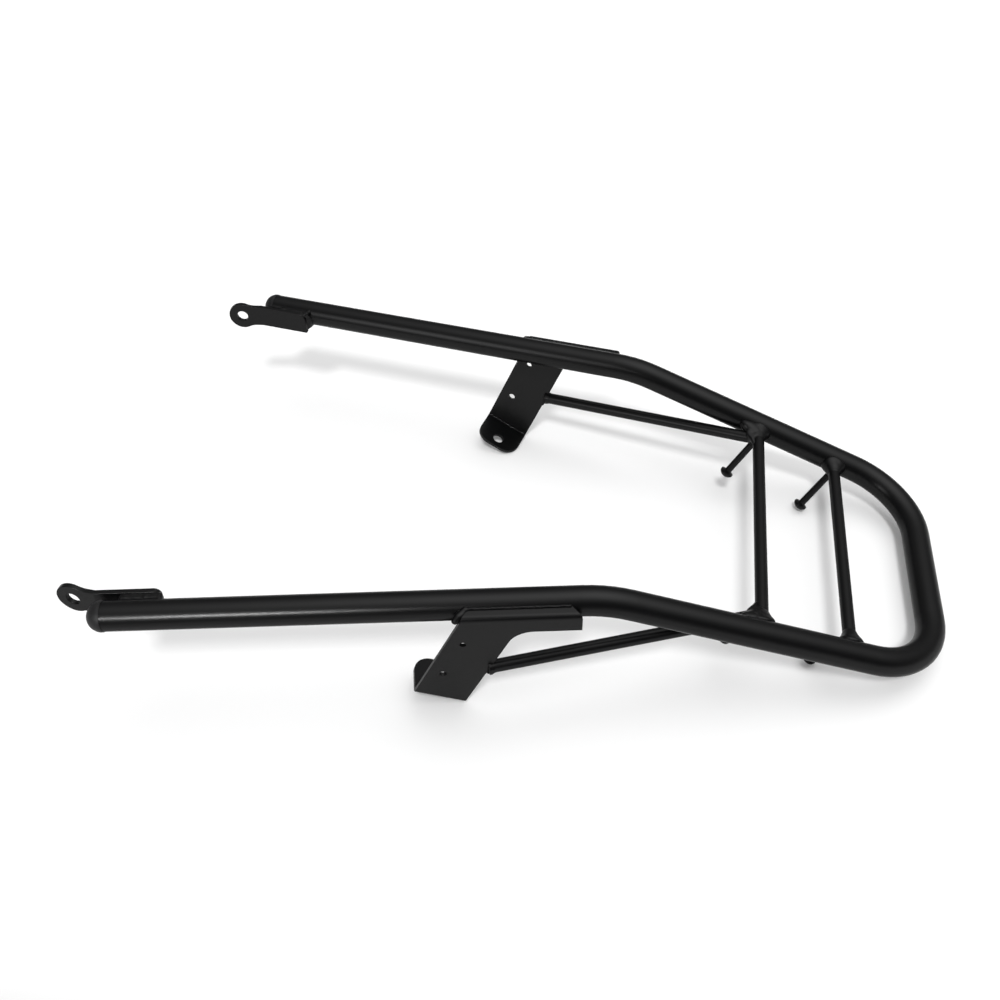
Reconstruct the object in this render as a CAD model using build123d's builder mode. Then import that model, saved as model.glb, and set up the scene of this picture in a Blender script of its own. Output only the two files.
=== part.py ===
"""Motorcycle luggage rack: a bent tube hoop with welded bars, brackets, tabs and lashing hooks.

Frame: +X to the rear of the motorcycle, +Z up, symmetric about Y = 0, with +Y on the right-hand side.
The pieces are built about the knees of the hoop, where each front rail turns down into its rear rail,
and moved at the end so that the origin is on the floor under the middle of the rack.
"""

import os
from math import atan2, cos, degrees, radians, sin, sqrt, tan

from build123d import *

# Main hoop: tube section, and the line of its axis seen from above and from the side
tube_od = 22.2
tube_wall = 2.0
knee_spread = 278.0
front_length = 356.0
flare_deg = 10.1
rear_reach = 248.5
taper_deg = 8.4
drop_deg = 19.3
knee_radius = 105.0
corner_radius = 62.0

# End caps: a rim that overhangs the tube by a lip, a dome on it, and a hollow ribbed plug
cap_lip = 0.4
cap_rim = 2.0
cap_dome = 10.0
cap_plug_length = 14.0
cap_plug_clearance = 0.1
cap_plug_wall = 2.0
cap_rib_count = 3
cap_rib_height = 1.2
cap_rib_width = 1.2

# Front tabs: flat bar with an eye, bent inwards just in front of the tube end
tab_thickness = 4.0
tab_standoff = 2.9
tab_bar_height = 20.0
tab_bar_length = 47.5
tab_overlap = 38.5
tab_drop = 1.7
tab_tail_radius = 5.5
tab_bend_deg = 15.0
tab_eye_radius = 12.8
tab_eye_reach = 18.8
tab_eye_bore = 10.5
tab_neck_radius = 18.0

# Mid brackets: one folded sheet with a top flange, a web with an arm and a leg, and a foot
sheet = 3.0
fold_radius = 1.0
bracket_lean_deg = 7.0
bracket_knee_gap = 1.2
web_gap = 4.2
flange_below_crown = 4.1
flange_length = 85.5
flange_bite = 1.0
flange_front_cut = 7.0
flange_rear_cut = 8.0
arm_height = 16.8
arm_fillet = 20.0
leg_deg = 23.5
leg_width = 41.0
leg_length = 103.0
foot_open_deg = 9.0
foot_depth = 34.8
foot_corner_radius = 14.0
foot_bore = 10.0
foot_bore_inset = 10.0
web_bore_upper = 5.0
web_bore_lower = 6.0
web_bore_edge = 11.5
web_bore_rise = 33.5
web_bore_pitch = 41.0

# Crossbars and braces: round bar
bar_diameter = 10.0
front_bar_reach = 112.0
rear_bar_reach = 179.6
brace_diameter = 10.0
brace_rise = 52.0
brace_wall_gap = 8.7

# Lashing hooks: a pin that leans forwards and inwards, with a flared head
hook_diameter = 6.0
hook_length = 47.7
hook_lean_deg = 33.4
hook_splay_deg = 12.0
hook_front_wall_gap = 5.6
hook_rear_wall_gap = 4.0
hook_head_diameter = 12.0
hook_flare = 1.2
hook_rim = 1.6
hook_dome = 3.5

# Weld beads
bar_weld_leg = 4.0
bar_weld_run = 11.0
brace_weld_leg = 3.0
brace_weld_run = 5.0
hook_weld_leg = 1.6
hook_weld_run = 3.0
weld_toe = 0.4
joint_bead_radius = 6.5
joint_bead_lead = 10.0
brace_foot_bead = 1.4
flange_bead_radius = 1.4
front_bead_radius = 3.2
tab_weld_length = 29.0
tab_weld_height = 15.5
tab_weld_drop = 1.0
tab_weld_wrap = 3.0
tab_weld_tail = 7.0

# Worked out from the above
tube_r = tube_od / 2
bore_r = tube_r - tube_wall
bar_r = bar_diameter / 2
brace_r = brace_diameter / 2
hook_r = hook_diameter / 2
knee_y = knee_spread / 2
base_up = (Align.CENTER, Align.CENTER, Align.MIN)


def rear_rail(reach):
    """Point of the right rear rail's axis at a distance behind the knee."""
    return Vector(reach, knee_y - reach * tan(radians(taper_deg)), -reach * tan(radians(drop_deg)))


def inside_rail(reach, wall_gap):
    """Point of a crossbar's axis at a distance inwards from the right rail's wall."""
    return rear_rail(reach) - Vector(0, tube_r + wall_gap, 0)


def dome_arc(base_r, rise, base):
    """Half section of a dome that rises from a base height to the axis."""
    radius = (base_r**2 + rise**2) / (2 * rise)
    sweep_deg = degrees(atan2(base_r, radius - rise))
    return CenterArc((0, base + rise - radius), radius, 90 - sweep_deg, sweep_deg)


def left_of(part):
    """The left-hand twin of a right-hand piece."""
    with BuildPart() as twin:
        mirror(part, about=Plane.XZ)
    return twin.part


# Right-hand rail: local X runs rearwards along the front rail, Y outwards and Z up
knee_point = rear_rail(0)
corner_point = rear_rail(rear_reach)
rail_dir = Vector(cos(radians(flare_deg)), -sin(radians(flare_deg)), 0)
rail_plane = Plane(origin=knee_point, x_dir=rail_dir, z_dir=(0, 0, 1))
front_end = knee_point - rail_dir * front_length
knee_turn = radians(rail_dir.get_angle(corner_point - knee_point))
knee_tangent = knee_radius * tan(knee_turn / 2)

# Main hoop: a tube swept round the whole axis
right_points = [front_end, knee_point, corner_point]
left_points = [Vector(point.X, -point.Y, point.Z) for point in reversed(right_points)]
with BuildLine() as hoop_axis:
    FilletPolyline(
        *right_points,
        *left_points,
        radius=[knee_radius, corner_radius, corner_radius, knee_radius],
    )
hoop_start = Plane(origin=front_end, z_dir=rail_dir)
with BuildPart() as main_hoop:
    with BuildSketch(hoop_start):
        Circle(tube_r)
        Circle(bore_r, mode=Mode.SUBTRACT)
    sweep(path=hoop_axis.line)

# The hoop without its bore, which copes everything that is welded to the tube
with BuildPart() as hoop_solid:
    with BuildSketch(hoop_start):
        Circle(tube_r)
    sweep(path=hoop_axis.line)

# End cap
cap_plane = Plane(origin=front_end, x_dir=(0, 0, 1), z_dir=-rail_dir)
cap_section = Plane(origin=front_end, x_dir=cap_plane.x_dir, z_dir=-cap_plane.y_dir)
plug_r = bore_r - cap_plug_clearance
plug_core_r = plug_r - cap_rib_height
plug_bore_r = plug_core_r - cap_plug_wall
rib_pitch = cap_plug_length / (cap_rib_count + 1)
with BuildPart() as end_cap:
    with BuildSketch(cap_section):
        with BuildLine():
            dome = dome_arc(tube_r + cap_lip, cap_dome, cap_rim)
            Polyline(dome @ 1, (0, 0), (tube_r + cap_lip, 0), dome @ 0)
        make_face()
    revolve(axis=Axis(front_end, cap_plane.z_dir))
    with BuildSketch(cap_plane):
        Circle(plug_core_r)
        Circle(plug_bore_r, mode=Mode.SUBTRACT)
    extrude(amount=-cap_plug_length)
    for rib in range(cap_rib_count):
        with BuildSketch(cap_plane.offset(-rib_pitch * (rib + 1))):
            Circle(plug_r)
            Circle(plug_bore_r, mode=Mode.SUBTRACT)
        extrude(amount=-cap_rib_width)

# Front tab: a bar beside the rail, a bend line with a rounded back, and an eye in front of it
tab_outer = tube_r + tab_standoff
tab_mid = tab_outer + tab_thickness / 2
tab_tail = tab_overlap - front_length
tab_bend = tab_tail - tab_bar_length
tab_plane = Plane(
    origin=rail_plane.from_local_coords((tab_bend, -tab_mid, -tab_drop)),
    x_dir=rail_dir,
    z_dir=-rail_plane.y_dir,
)
eye_plane = Plane(tab_plane * Rotation(0, tab_bend_deg, 0))
with BuildPart() as front_tab:
    with BuildSketch(tab_plane):
        with Locations((tab_bar_length / 2, 0)):
            Rectangle(tab_bar_length, tab_bar_height)
        fillet(vertices().group_by(Axis.X)[-1].sort_by(Axis.Y)[-1], tab_tail_radius)
    extrude(amount=tab_thickness / 2, both=True)
    with BuildSketch(eye_plane):
        with Locations((-tab_eye_reach, 0)):
            Circle(tab_eye_radius)
        with Locations((-tab_eye_reach / 2, 0)):
            Rectangle(tab_eye_reach, tab_bar_height)
        fillet(vertices().group_by(Axis.X)[0], tab_neck_radius)
        with Locations((-tab_eye_reach, 0)):
            Circle(tab_eye_bore / 2, mode=Mode.SUBTRACT)
    extrude(amount=tab_thickness / 2, both=True)
    with Locations(Plane(origin=tab_plane.origin, x_dir=rail_dir, z_dir=(0, 0, 1))):
        Cylinder(tab_thickness / 2, tab_bar_height)

# Mid bracket: its frame is the rail's, turned about the rail so that the web leans in at the foot
bracket_plane = Plane(rail_plane * Rotation(-bracket_lean_deg, 0, 0))
out_dir = bracket_plane.y_dir
leg = radians(leg_deg)
leg_up = bracket_plane.x_dir * sin(leg) + bracket_plane.z_dir * cos(leg)
fold_dir = bracket_plane.x_dir * cos(leg) - bracket_plane.z_dir * sin(leg)
fold_outer = fold_radius + sheet
fold_mid = fold_radius + sheet / 2
web_mid = tube_r + web_gap + sheet / 2
web_outer = web_mid + sheet / 2
fold_axis = web_mid - fold_mid
flange_top = tube_r - flange_below_crown
web_top = flange_top - fold_outer
arm_low = flange_top - arm_height
arm_rear = -(knee_tangent + bracket_knee_gap)
arm_front = arm_rear - flange_length
foot_turn = 90 - foot_open_deg
foot_setback = fold_outer * tan(radians(foot_turn / 2))
leg_flat = leg_length - fold_outer / cos(leg) - foot_setback

# Web outline, in the web's own plane: local X runs rearwards and Y up
web_plane = Plane(
    origin=bracket_plane.from_local_coords((0, web_mid, 0)),
    x_dir=rail_dir,
    z_dir=-out_dir,
)
web_up = Vector(sin(leg), cos(leg), 0)
web_across = Vector(cos(leg), -sin(leg), 0)
web_front = Vector(arm_front, web_top, 0)
leg_front = web_front - web_up * leg_flat
leg_rear = leg_front + web_across * leg_width
arm_corner = leg_rear + web_up * ((arm_low - leg_rear.Y) / cos(leg))
bore_low = leg_front + web_across * web_bore_edge + web_up * (web_bore_rise - foot_setback)
bore_high = bore_low + web_up * web_bore_pitch

# Flange outline, in the plane of its top face: local X runs rearwards and Y outwards
flange_plane = Plane(
    origin=bracket_plane.from_local_coords((0, 0, flange_top)),
    x_dir=rail_dir,
    z_dir=bracket_plane.z_dir,
)
flange_edge = sqrt(tube_r**2 - flange_top**2) - flange_bite

# The foot starts where the lower fold ends
fold_centre = web_plane.from_local_coords(leg_front) - out_dir * fold_mid
foot_turn_rad = radians(foot_turn)
foot_start = fold_centre + (out_dir * cos(foot_turn_rad) - leg_up * sin(foot_turn_rad)) * fold_mid
foot_in = -out_dir * sin(foot_turn_rad) - leg_up * cos(foot_turn_rad)
foot_plane = Plane(origin=foot_start, x_dir=fold_dir, z_dir=fold_dir.cross(foot_in))
foot_flat = foot_depth - foot_setback
with BuildPart() as mid_bracket:
    with BuildSketch(web_plane):
        with BuildLine():
            Polyline(
                web_front,
                leg_front,
                leg_rear,
                arm_corner,
                (arm_rear, arm_low),
                (arm_rear, web_top),
                close=True,
            )
        make_face()
        fillet(vertices().sort_by_distance(arm_corner)[0], arm_fillet)
        with Locations(bore_low):
            Circle(web_bore_lower / 2, mode=Mode.SUBTRACT)
        with Locations(bore_high):
            Circle(web_bore_upper / 2, mode=Mode.SUBTRACT)
    extrude(amount=sheet / 2, both=True)
    # Fold between web and flange
    top_fold = bracket_plane.from_local_coords((arm_front, fold_axis, web_top))
    with BuildSketch(Plane(origin=top_fold, x_dir=out_dir, z_dir=rail_dir)):
        with BuildLine():
            outside = CenterArc((0, 0), fold_outer, 0, 90)
            inside = CenterArc((0, 0), fold_radius, 0, 90)
            Line(outside @ 0, inside @ 0)
            Line(outside @ 1, inside @ 1)
        make_face()
    extrude(amount=flange_length)
    # Flange, whose ends are cut back through the fold towards the tube
    with BuildSketch(flange_plane):
        with Locations((arm_front, flange_edge)):
            Rectangle(flange_length, fold_axis - flange_edge, align=(Align.MIN, Align.MIN))
    extrude(amount=-sheet)
    for end, cut in ((arm_front, flange_front_cut), (arm_rear, flange_rear_cut)):
        with BuildSketch(flange_plane):
            with BuildLine():
                Polyline(
                    (end, web_outer),
                    (end + cut, flange_edge),
                    (end - cut, flange_edge),
                    close=True,
                )
            make_face()
        extrude(amount=-fold_outer, mode=Mode.SUBTRACT)
    # Fold between web and foot
    with BuildSketch(Plane(origin=fold_centre, x_dir=out_dir, z_dir=fold_dir)):
        with BuildLine():
            outside = CenterArc((0, 0), fold_outer, 0, -foot_turn)
            inside = CenterArc((0, 0), fold_radius, 0, -foot_turn)
            Line(outside @ 0, inside @ 0)
            Line(outside @ 1, inside @ 1)
        make_face()
    extrude(amount=leg_width)
    # Foot, with rounded inner corners and a bolt hole
    with BuildSketch(foot_plane):
        with Locations((leg_width / 2, foot_flat / 2)):
            Rectangle(leg_width, foot_flat)
        fillet(vertices().group_by(Axis.Y)[-1], foot_corner_radius)
        with Locations((leg_width / 2, foot_flat - foot_bore_inset)):
            Circle(foot_bore / 2, mode=Mode.SUBTRACT)
    extrude(amount=sheet / 2, both=True)
    add(hoop_solid.part, mode=Mode.SUBTRACT)


def crossbar(reach):
    """Bar from rail to rail, coped to the tube at both ends."""
    end = rear_rail(reach)
    with BuildPart() as bar:
        with Locations(Plane(origin=end, z_dir=(0, -1, 0))):
            Cylinder(bar_r, 2 * end.Y, align=base_up)
        add(hoop_solid.part, mode=Mode.SUBTRACT)
    return bar.part


crossbar_front = crossbar(front_bar_reach)
crossbar_rear = crossbar(rear_bar_reach)

# Brace: butts on the rear edge of the leg and is coped to the front crossbar
brace_start = web_plane.from_local_coords(leg_rear + web_up * (brace_rise - foot_setback))
brace_end = inside_rail(front_bar_reach, brace_wall_gap)
brace_axis = brace_end - brace_start
brace_plane = Plane(origin=brace_start, z_dir=brace_axis)
leg_edge_plane = Plane(origin=brace_start, x_dir=leg_up, z_dir=fold_dir)
with BuildPart() as brace:
    with Locations(brace_plane.offset(-brace_r)):
        Cylinder(brace_r, brace_axis.length + brace_r, align=base_up)
    split(bisect_by=leg_edge_plane, keep=Keep.TOP)
    add(crossbar_front, mode=Mode.SUBTRACT)

# Lashing hooks
hook_dir = Vector(
    -sin(radians(hook_lean_deg)) * cos(radians(hook_splay_deg)),
    -sin(radians(hook_splay_deg)),
    -cos(radians(hook_lean_deg)) * cos(radians(hook_splay_deg)),
)
hook_head_r = hook_head_diameter / 2
hook_rim_end = hook_length - hook_dome
hook_rim_start = hook_rim_end - hook_rim


def hook(root, trims):
    """Pin with a flared head, hung from a point of a crossbar's axis and coped to what it meets."""
    across = Plane(origin=root, z_dir=hook_dir)
    with BuildPart() as pin:
        with BuildSketch(Plane(origin=root, x_dir=across.x_dir, z_dir=-across.y_dir)):
            with BuildLine():
                Polyline(
                    (0, hook_length),
                    (0, 0),
                    (hook_r, 0),
                    (hook_r, hook_rim_start - hook_flare),
                    (hook_head_r, hook_rim_start),
                    (hook_head_r, hook_rim_end),
                )
                dome_arc(hook_head_r, hook_dome, hook_rim_end)
            make_face()
        revolve(axis=Axis(root, hook_dir))
        for joined in trims:
            add(joined, mode=Mode.SUBTRACT)
    return pin.part


hook_front_root = inside_rail(front_bar_reach, hook_front_wall_gap)
hook_rear_root = inside_rail(rear_bar_reach, hook_rear_wall_gap)
hook_front = hook(hook_front_root, [crossbar_front, brace.part, hoop_solid.part])
hook_rear = hook(hook_rear_root, [crossbar_rear, hoop_solid.part])


def collar(start, direction, rod_r, seat, leg_size, run):
    """Weld round the end of a rod: a band as far as the seat, then a taper along the rod."""
    with BuildPart() as bead:
        with Locations(Plane(origin=start, z_dir=direction)):
            Cylinder(rod_r + leg_size, seat, align=base_up)
            with Locations((0, 0, seat)):
                Cone(rod_r + leg_size, rod_r + weld_toe, run, align=base_up)
    return bead.part


inwards = Vector(0, -1, 0)
front_end_bead = collar(
    rear_rail(front_bar_reach), inwards, bar_r, tube_r, bar_weld_leg, bar_weld_run
)
rear_end_bead = collar(
    rear_rail(rear_bar_reach), inwards, bar_r, tube_r, bar_weld_leg, bar_weld_run
)
brace_end_bead = collar(brace_end, -brace_axis, brace_r, bar_r, brace_weld_leg, brace_weld_run)
hook_front_bead = collar(hook_front_root, hook_dir, hook_r, bar_r, hook_weld_leg, hook_weld_run)
hook_rear_bead = collar(hook_rear_root, hook_dir, hook_r, bar_r, hook_weld_leg, hook_weld_run)

# Welds where the crossbars meet the rail, with the brace and the hook beside them
joint_bead = rear_rail(front_bar_reach - joint_bead_lead) - Vector(0, tube_r, 0)
with BuildPart() as weld_front_joint:
    for bead in (front_end_bead, brace_end_bead, hook_front_bead):
        add(bead)
    with Locations(Plane(origin=joint_bead, z_dir=brace_axis)):
        Sphere(joint_bead_radius)
    for joined in (brace.part, hook_front, crossbar_front, hoop_solid.part):
        add(joined, mode=Mode.SUBTRACT)
with BuildPart() as weld_rear_joint:
    for bead in (rear_end_bead, hook_rear_bead):
        add(bead)
    for joined in (hook_rear, crossbar_rear, hoop_solid.part):
        add(joined, mode=Mode.SUBTRACT)

# Weld where the brace butts on the leg
with BuildPart() as weld_brace:
    with Locations(brace_start):
        Sphere(brace_r + brace_foot_bead)
    for joined in (brace.part, mid_bracket.part):
        add(joined, mode=Mode.SUBTRACT)

# Weld of the bracket: a bead along the flange, and one across the cut at its front end
flange_contact = flange_edge + flange_bite
bead_section = Plane(
    origin=bracket_plane.from_local_coords((arm_front + flange_front_cut, 0, 0)),
    x_dir=out_dir,
    z_dir=rail_dir,
)
front_bead_ends = [
    bracket_plane.from_local_coords((arm_front, web_outer - sheet, web_top)),
    bracket_plane.from_local_coords((arm_front + flange_front_cut, flange_edge, flange_top - sheet / 2)),
]
front_bead_axis = front_bead_ends[1] - front_bead_ends[0]
with BuildPart() as weld_bracket:
    with BuildSketch(bead_section):
        with Locations((flange_contact, flange_top)):
            Circle(flange_bead_radius)
        Circle(tube_r, mode=Mode.SUBTRACT)
        with Locations((flange_contact, flange_top)):
            Rectangle(
                2 * flange_bead_radius,
                flange_bead_radius,
                align=(Align.CENTER, Align.MAX),
                mode=Mode.SUBTRACT,
            )
    extrude(amount=flange_length - flange_front_cut - flange_rear_cut)
    with Locations(Plane(origin=front_bead_ends[0], z_dir=front_bead_axis)):
        Cylinder(front_bead_radius, front_bead_axis.length, align=base_up)
        with Locations((0, 0, 0), (0, 0, front_bead_axis.length)):
            Sphere(front_bead_radius)
    for joined in (hoop_solid.part, mid_bracket.part):
        add(joined, mode=Mode.SUBTRACT)

# Weld that fills the space between the tab and the tube, and slopes to the tube behind the tab
tab_weld_front = tab_tail - tab_weld_length
with BuildPart() as weld_tab:
    with BuildSketch(rail_plane.offset(-tab_weld_drop)):
        with BuildLine():
            Polyline(
                (tab_weld_front, 0),
                (tab_weld_front, -tab_outer),
                (tab_tail, -tab_outer),
                (tab_tail, -tab_outer - tab_weld_wrap),
                (tab_tail + tab_weld_tail, 0),
                close=True,
            )
        make_face()
    extrude(amount=tab_weld_height / 2, both=True)
    add(hoop_solid.part, mode=Mode.SUBTRACT)

# Every piece by its name, with right-hand pieces doubled
pieces = {
    "main_hoop": main_hoop.part,
    "crossbar_front": crossbar_front,
    "crossbar_rear": crossbar_rear,
}
right_pieces = {
    "end_cap": end_cap.part,
    "front_tab": front_tab.part,
    "mid_bracket": mid_bracket.part,
    "brace": brace.part,
    "hook_front": hook_front,
    "hook_rear": hook_rear,
    "weld_tab": weld_tab.part,
    "weld_bracket": weld_bracket.part,
    "weld_brace": weld_brace.part,
    "weld_front_joint": weld_front_joint.part,
    "weld_rear_joint": weld_rear_joint.part,
}
for name, part in right_pieces.items():
    pieces[f"{name}_right"] = part
    pieces[f"{name}_left"] = left_of(part)

# The origin goes to the floor, under the middle of the rack's length
boxes = [part.bounding_box() for part in pieces.values()]
rack_front = min(box.min.X for box in boxes)
rack_rear = max(box.max.X for box in boxes)
rack_floor = min(box.min.Z for box in boxes)
to_floor = Location((-(rack_front + rack_rear) / 2, 0, -rack_floor))

os.makedirs("parts", exist_ok=True)
for name, part in pieces.items():
    placed = part.moved(to_floor)
    placed.label = name
    export_step(placed, f"parts/{name}.step")
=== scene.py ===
"""Looks for a motorcycle luggage rack: powder coat, plastic caps, coated edges and weld beads.

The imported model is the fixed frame. The folded brackets and the front tabs are copied with their cut edges
rounded, as a coat rounds them, and each plain weld of the frame becomes a run of small overlapping puddles.
"""

import logging
from dataclasses import dataclass
from enum import Enum
from math import cos, pi, radians, sin, sqrt, tan
from typing import Any, Iterable

import bmesh
import bpy
from mathutils import Matrix, Vector


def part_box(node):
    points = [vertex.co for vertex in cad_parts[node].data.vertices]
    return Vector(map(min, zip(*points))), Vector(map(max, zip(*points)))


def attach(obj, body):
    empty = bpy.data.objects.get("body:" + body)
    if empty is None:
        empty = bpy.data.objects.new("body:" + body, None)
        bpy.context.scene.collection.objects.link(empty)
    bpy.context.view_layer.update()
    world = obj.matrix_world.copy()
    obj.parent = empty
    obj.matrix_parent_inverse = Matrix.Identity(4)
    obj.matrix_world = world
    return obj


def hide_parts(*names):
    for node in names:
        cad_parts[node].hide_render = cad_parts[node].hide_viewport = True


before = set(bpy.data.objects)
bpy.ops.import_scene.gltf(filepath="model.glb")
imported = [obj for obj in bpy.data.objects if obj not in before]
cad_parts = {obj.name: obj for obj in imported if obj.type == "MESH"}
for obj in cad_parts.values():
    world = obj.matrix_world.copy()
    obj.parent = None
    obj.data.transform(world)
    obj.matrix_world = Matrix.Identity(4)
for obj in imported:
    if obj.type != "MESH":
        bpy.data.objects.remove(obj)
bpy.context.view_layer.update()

LOG = logging.getLogger("rack")
MM = 0.001
UP = Vector((0.0, 0.0, 1.0))
INWARDS = Vector((0.0, -1.0, 0.0))
WHITE = (1.0, 1.0, 1.0, 1.0)
RING_STEPS = 36
BODY = "root"
# The Mix node's colour sockets go by number, because its other kinds have sockets of the same names
MIX_FIRST = 6
MIX_SECOND = 7
MIX_RESULT = 2


class Side(Enum):
    """The two hands of the rack, by the sign of Y."""

    RIGHT = 1
    LEFT = -1

    @property
    def tag(self) -> str:
        """The ending of this side's node names."""
        return self.name.lower()


class Slot(Enum):
    """The material slots."""

    COAT = "powder_coat"
    CAP = "cap_plastic"


def linear(colour_hex: str) -> tuple[float, float, float, float]:
    """Turn an sRGB hex colour into linear light.

    Args:
        colour_hex: Six hex digits, with or without a leading hash.

    Returns:
        Red, green, blue and an alpha of one.
    """
    digits = colour_hex.lstrip("#")
    channels = []
    for start in (0, 2, 4):
        value = int(digits[start:start + 2], 16) / 255
        channels.append(value / 12.92 if value <= 0.04045 else ((value + 0.055) / 1.055) ** 2.4)
    return channels[0], channels[1], channels[2], 1.0


def add_node(
    tree: bpy.types.NodeTree, kind: str, inputs: dict[Any, Any] | None = None, **settings: Any,
) -> Any:
    """Add a node with its settings, and link or set its inputs.

    Args:
        tree: The tree that the node goes in.
        kind: Blender's name for the kind of node.
        inputs: Socket name or index, with the value or the output socket that goes there.
        **settings: The node's own properties.

    Returns:
        The new node.
    """
    node = tree.nodes.new(kind)
    for name, value in settings.items():
        setattr(node, name, value)
    for key, value in (inputs or {}).items():
        if isinstance(value, bpy.types.NodeSocket):
            tree.links.new(value, node.inputs[key])
        else:
            node.inputs[key].default_value = value
    return node


def waves_per_metre(size_mm: float) -> float:
    """The scale of a noise whose features are about this large."""
    return 1 / (size_mm * MM)


def blank_finish(
    name: str,
) -> tuple[bpy.types.Material, bpy.types.NodeTree, bpy.types.Node, bpy.types.NodeSocket]:
    """Start a node material.

    Args:
        name: The material's name.

    Returns:
        The material, its tree, its shader, and the object coordinates that its patterns read.
    """
    made = bpy.data.materials.new(name)
    made.use_nodes = True
    tree = made.node_tree
    shader = tree.nodes["Principled BSDF"]
    place = add_node(tree, "ShaderNodeTexCoord").outputs["Object"]
    return made, tree, shader, place


def dress(piece: bpy.types.Object, finish: bpy.types.Material) -> None:
    """Put one finish all over a piece.

    Args:
        piece: The piece.
        finish: Its material.
    """
    piece.data.materials.clear()
    piece.data.materials.append(finish)


def adopt(piece: bpy.types.Object, node: str) -> None:
    """Say what a piece moves with, and hide the node that it stands for.

    Args:
        piece: The piece.
        node: The node that it replaces.
    """
    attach(piece, BODY)
    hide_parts(node)


@dataclass(frozen=True)
class PowderCoat:
    """Satin black polyester powder coat, sprayed dry on steel and baked.

    The powder flows out into a faint orange peel with a fine grain on it, so the black keeps a soft even
    sheen, and long tubes carry one blurred highlight instead of a mirror line.
    """

    name: str = "satin_black_powder_coat_on_steel"
    colour: str = "#090909"
    thin_colour: str = "#0d0d0e"
    roughness: float = 0.3
    roughness_swing: float = 0.06
    ior: float = 1.5
    gloss: float = 0.26
    rim_gloss: float = 0.05
    rim_start: float = 0.6
    rim_blend: float = 0.5
    peel_mm: float = 2.4
    peel_depth_mm: float = 0.012
    grain_mm: float = 0.45
    grain_depth_mm: float = 0.006
    cloud_mm: float = 35.0

    def material(self) -> bpy.types.Material:
        """Build the coat as a node material.

        Returns:
            The new material.
        """
        made, tree, shader, place = blank_finish(self.name)
        # The coat is a little thicker here and thinner there, which shifts the black slightly
        cloud = add_node(
            tree, "ShaderNodeTexNoise",
            {"Vector": place, "Scale": waves_per_metre(self.cloud_mm), "Detail": 3.0},
        ).outputs["Fac"]
        colour = add_node(
            tree, "ShaderNodeMix",
            {"Factor": cloud, MIX_FIRST: linear(self.colour), MIX_SECOND: linear(self.thin_colour)},
            data_type="RGBA",
        ).outputs[MIX_RESULT]
        tree.links.new(colour, shader.inputs["Base Color"])
        # The grain is drawn about three times as coarse as real powder grain, so that it shows in a render
        grain = add_node(
            tree, "ShaderNodeTexNoise",
            {"Vector": place, "Scale": waves_per_metre(self.grain_mm), "Detail": 2.0},
        ).outputs["Fac"]
        peel = add_node(
            tree, "ShaderNodeTexNoise",
            {"Vector": place, "Scale": waves_per_metre(self.peel_mm), "Detail": 1.0},
        ).outputs["Fac"]
        sheen = add_node(
            tree, "ShaderNodeMapRange",
            {
                "Value": grain,
                "To Min": self.roughness - self.roughness_swing,
                "To Max": self.roughness + self.roughness_swing,
            },
        ).outputs["Result"]
        tree.links.new(sheen, shader.inputs["Roughness"])
        flow = add_node(
            tree, "ShaderNodeBump",
            {"Height": peel, "Distance": self.peel_depth_mm * MM, "Strength": 1.0},
        ).outputs["Normal"]
        relief = add_node(
            tree, "ShaderNodeBump",
            {"Height": grain, "Distance": self.grain_depth_mm * MM, "Strength": 1.0, "Normal": flow},
        ).outputs["Normal"]
        tree.links.new(relief, shader.inputs["Normal"])
        # Seen at a slant the grain shades its own film, so edges have no pale rim as smooth enamel would
        slant = add_node(tree, "ShaderNodeLayerWeight", {"Blend": self.rim_blend}).outputs["Facing"]
        film = add_node(
            tree, "ShaderNodeMapRange",
            {"Value": slant, "From Max": self.rim_start, "To Min": self.gloss, "To Max": self.rim_gloss},
        ).outputs["Result"]
        tree.links.new(film, shader.inputs["Specular IOR Level"])
        shader.inputs["IOR"].default_value = self.ior
        return made


@dataclass(frozen=True)
class MouldedCap:
    """Black low-density polyethylene, injection moulded in a spark-eroded tool.

    The tool leaves an even matte grain, so the caps look flatter and a little greyer than the coat.
    """

    name: str = "moulded_black_polyethylene"
    colour: str = "#0f0f10"
    worn_colour: str = "#161617"
    roughness: float = 0.55
    ior: float = 1.51
    gloss: float = 0.3
    spark_mm: float = 0.6
    spark_depth_mm: float = 0.015

    def material(self) -> bpy.types.Material:
        """Build the plastic as a node material.

        Returns:
            The new material.
        """
        made, tree, shader, place = blank_finish(self.name)
        # Spark grain, drawn coarse enough to show
        spark = add_node(
            tree, "ShaderNodeTexNoise",
            {"Vector": place, "Scale": waves_per_metre(self.spark_mm), "Detail": 3.0},
        ).outputs["Fac"]
        colour = add_node(
            tree, "ShaderNodeMix",
            {"Factor": spark, MIX_FIRST: linear(self.colour), MIX_SECOND: linear(self.worn_colour)},
            data_type="RGBA",
        ).outputs[MIX_RESULT]
        tree.links.new(colour, shader.inputs["Base Color"])
        relief = add_node(
            tree, "ShaderNodeBump",
            {"Height": spark, "Distance": self.spark_depth_mm * MM, "Strength": 1.0},
        ).outputs["Normal"]
        tree.links.new(relief, shader.inputs["Normal"])
        shader.inputs["Roughness"].default_value = self.roughness
        shader.inputs["IOR"].default_value = self.ior
        shader.inputs["Specular IOR Level"].default_value = self.gloss
        return made


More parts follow.
